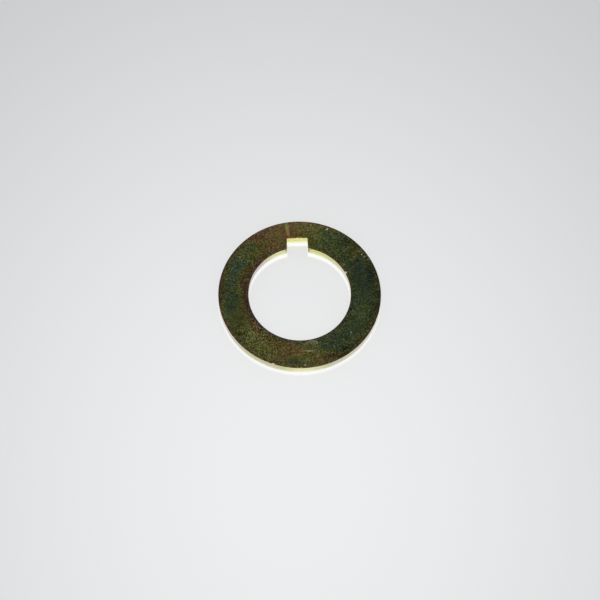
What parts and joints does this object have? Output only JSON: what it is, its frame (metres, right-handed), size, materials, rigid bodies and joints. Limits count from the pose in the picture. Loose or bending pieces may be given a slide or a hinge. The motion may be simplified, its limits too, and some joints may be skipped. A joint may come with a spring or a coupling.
{
  "type": "shim washer",
  "caption": "Flat round steel shim washer with a square-floored keyway in its bore, so that it turns with a keyed shaft.",
  "frame": {"origin": "on the bore's axis, in the plane of the lower flat face that the washer lies on", "axes": "+Z along the bore's axis towards the burr side, +Y from the bore's axis to the middle of the keyway"},
  "size_m": [0.0508, 0.0508, 0.0032],
  "materials": {
    "yellow_zinc": "yellow passivated zinc plating on rolled and sheared steel"
  },
  "bodies": {
    "root": {"shim_washer": "yellow_zinc"}
  },
  "joints": []
}
